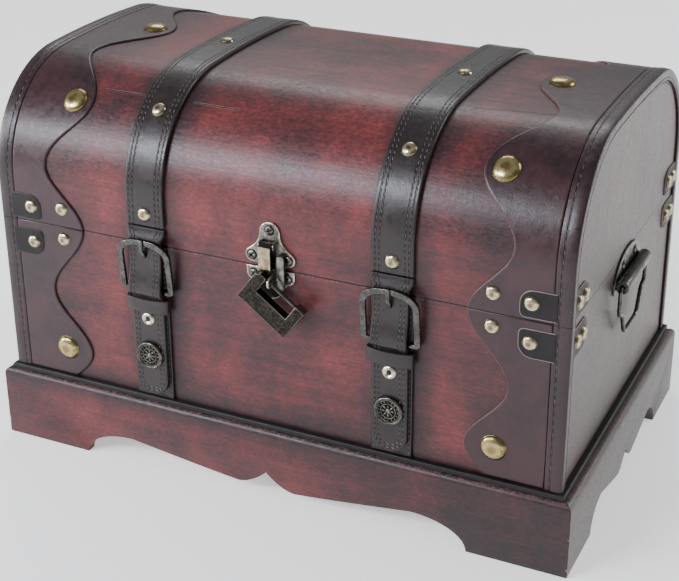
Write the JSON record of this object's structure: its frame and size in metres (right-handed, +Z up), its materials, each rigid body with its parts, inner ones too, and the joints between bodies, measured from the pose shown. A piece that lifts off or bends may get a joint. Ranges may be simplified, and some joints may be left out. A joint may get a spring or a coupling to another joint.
{
  "type": "treasure chest",
  "caption": "Domed wooden chest with a hinged lid, leather straps with buckles, a hasp with a hanging padlock, and swinging wire handles on both ends.",
  "frame": {"origin": "middle of the bounding box at the floor, under the plinth", "axes": "+X along the chest's length to the viewer's right, +Y from the front with the padlock to the back with the hinges, +Z up"},
  "size_m": [0.4502, 0.2868, 0.2981],
  "materials": {
    "bottom_panel": "plain dark wood",
    "front_panel": "dark cherry stain, satin",
    "back_panel": "dark cherry stain, satin",
    "left_end_panel": "dark cherry stain, satin",
    "right_end_panel": "dark cherry stain, satin",
    "plinth_front": "dark cherry stain, satin",
    "plinth_back": "dark cherry stain, satin",
    "plinth_left": "dark cherry stain, satin",
    "plinth_right": "dark cherry stain, satin",
    "ledge_piping": "semi-gloss",
    "box_band_front_left": "semi-gloss, stitched",
    "box_band_front_right": "semi-gloss, stitched",
    "box_band_back_left": "semi-gloss, stitched",
    "box_band_back_right": "semi-gloss, stitched",
    "box_patch_front_left": "semi-gloss",
    "box_patch_front_right": "semi-gloss",
    "box_patch_back_left": "semi-gloss",
    "box_patch_back_right": "semi-gloss",
    "box_corner_front_left": "semi-gloss",
    "box_corner_front_right": "semi-gloss",
    "box_corner_back_left": "semi-gloss",
    "box_corner_back_right": "semi-gloss",
    "box_strap_left": "semi-gloss, stitched",
    "box_strap_right": "semi-gloss, stitched",
    "latch_lower_plate": "antique pewter plating",
    "latch_staple": "antique pewter plating",
    "hinge_box_leaf_left": "antique",
    "hinge_box_leaf_right": "antique",
    "handle_plate_left": "antique pewter plating",
    "handle_plate_right": "antique pewter plating",
    "lid_shell": "dark cherry stain, satin",
    "lid_end_left": "dark cherry stain, satin",
    "lid_end_right": "dark cherry stain, satin",
    "lid_band_left": "semi-gloss, stitched",
    "lid_band_right": "semi-gloss, stitched",
    "lid_patch_left": "semi-gloss",
    "lid_patch_right": "semi-gloss",
    "lid_strap_left": "semi-gloss, stitched",
    "lid_strap_right": "semi-gloss, stitched",
    "latch_upper_plate": "antique pewter plating",
    "hinge_lid_leaf_left": "antique",
    "hinge_lid_leaf_right": "antique",
    "lid_corner_front_left": "semi-gloss",
    "lid_corner_front_right": "semi-gloss",
    "lid_corner_back_left": "semi-gloss",
    "lid_corner_back_right": "semi-gloss",
    "latch_tongue": "antique pewter plating",
    "strap_flap_left": "semi-gloss, stitched",
    "buckle_left": "dark antique nickel plating",
    "keeper_left": "semi-gloss",
    "concho_left": "dark antique nickel plating",
    "strap_flap_right": "semi-gloss, stitched",
    "buckle_right": "dark antique nickel plating",
    "keeper_right": "semi-gloss",
    "concho_right": "dark antique nickel plating",
    "padlock_body": "dark antique pewter, cast texture",
    "padlock_slider": "dark antique pewter",
    "handle_bail_left": "antique pewter plating",
    "handle_bail_right": "antique pewter plating"
  },
  "bodies": {
    "box": {"bottom_panel": "bottom_panel", "front_panel": "front_panel", "back_panel": "back_panel", "left_end_panel": "left_end_panel", "right_end_panel": "right_end_panel", "plinth_front": "plinth_front", "plinth_back": "plinth_back", "plinth_left": "plinth_left", "plinth_right": "plinth_right", "ledge_piping": "ledge_piping", "box_band_front_left": "box_band_front_left", "box_band_front_right": "box_band_front_right", "box_band_back_left": "box_band_back_left", "box_band_back_right": "box_band_back_right", "box_patch_front_left": "box_patch_front_left", "box_patch_front_right": "box_patch_front_right", "box_patch_back_left": "box_patch_back_left", "box_patch_back_right": "box_patch_back_right", "box_corner_front_left": "box_corner_front_left", "box_corner_front_right": "box_corner_front_right", "box_corner_back_left": "box_corner_back_left", "box_corner_back_right": "box_corner_back_right", "box_strap_left": "box_strap_left", "box_strap_right": "box_strap_right", "latch_lower_plate": "latch_lower_plate", "latch_staple": "latch_staple", "hinge_box_leaf_left": "hinge_box_leaf_left", "hinge_box_leaf_right": "hinge_box_leaf_right", "handle_plate_left": "handle_plate_left", "handle_plate_right": "handle_plate_right"},
    "lid": {"lid_shell": "lid_shell", "lid_end_left": "lid_end_left", "lid_end_right": "lid_end_right", "lid_band_left": "lid_band_left", "lid_band_right": "lid_band_right", "lid_patch_left": "lid_patch_left", "lid_patch_right": "lid_patch_right", "lid_strap_left": "lid_strap_left", "lid_strap_right": "lid_strap_right", "latch_upper_plate": "latch_upper_plate", "hinge_lid_leaf_left": "hinge_lid_leaf_left", "hinge_lid_leaf_right": "hinge_lid_leaf_right", "lid_corner_front_left": "lid_corner_front_left", "lid_corner_front_right": "lid_corner_front_right", "lid_corner_back_left": "lid_corner_back_left", "lid_corner_back_right": "lid_corner_back_right"},
    "tongue": {"latch_tongue": "latch_tongue"},
    "flap_left": {"strap_flap_left": "strap_flap_left", "buckle_left": "buckle_left", "keeper_left": "keeper_left", "concho_left": "concho_left"},
    "flap_right": {"strap_flap_right": "strap_flap_right", "buckle_right": "buckle_right", "keeper_right": "keeper_right", "concho_right": "concho_right"},
    "padlock": {"padlock_body": "padlock_body"},
    "padlock_slider": {"padlock_slider": "padlock_slider"},
    "bail_left": {"handle_bail_left": "handle_bail_left"},
    "bail_right": {"handle_bail_right": "handle_bail_right"}
  },
  "joints": [
    {"name": "lid_hinge", "type": "hinge", "parent": "box", "child": "lid", "pos_m": [0, 0.13958, 0.1813], "axis": [-1, 0, 0], "range_deg": [0, 100]},
    {"name": "tongue_hinge", "type": "hinge", "parent": "lid", "child": "tongue", "pos_m": [0.005, -0.13262, 0.1994], "axis": [-1, 0, 0], "range_deg": [0, 100]},
    {"name": "flap_left_fold", "type": "hinge", "parent": "lid", "child": "flap_left", "pos_m": [-0.0923, -0.12922, 0.1945], "axis": [-1, 0, 0], "range_deg": [0, 90]},
    {"name": "flap_right_fold", "type": "hinge", "parent": "lid", "child": "flap_right", "pos_m": [0.095, -0.12922, 0.1945], "axis": [-1, 0, 0], "range_deg": [0, 90]},
    {"name": "padlock_swing", "type": "hinge", "parent": "box", "child": "padlock", "pos_m": [0.0098, -0.13922, 0.1759], "axis": [0, -1, 0], "range_deg": [0, 60]},
    {"name": "padlock_slide", "type": "slide", "parent": "padlock", "child": "padlock_slider", "axis": [-0.8028, 0, 0.5962], "range_m": [0, 0.03]},
    {"name": "bail_left_swing", "type": "hinge", "parent": "box", "child": "bail_left", "pos_m": [-0.2203, 0.00398, 0.165], "axis": [0, 1, 0], "range_deg": [-5, 180]},
    {"name": "bail_right_swing", "type": "hinge", "parent": "box", "child": "bail_right", "pos_m": [0.2203, 0.00398, 0.165], "axis": [0, -1, 0], "range_deg": [-5, 180]}
  ]
}
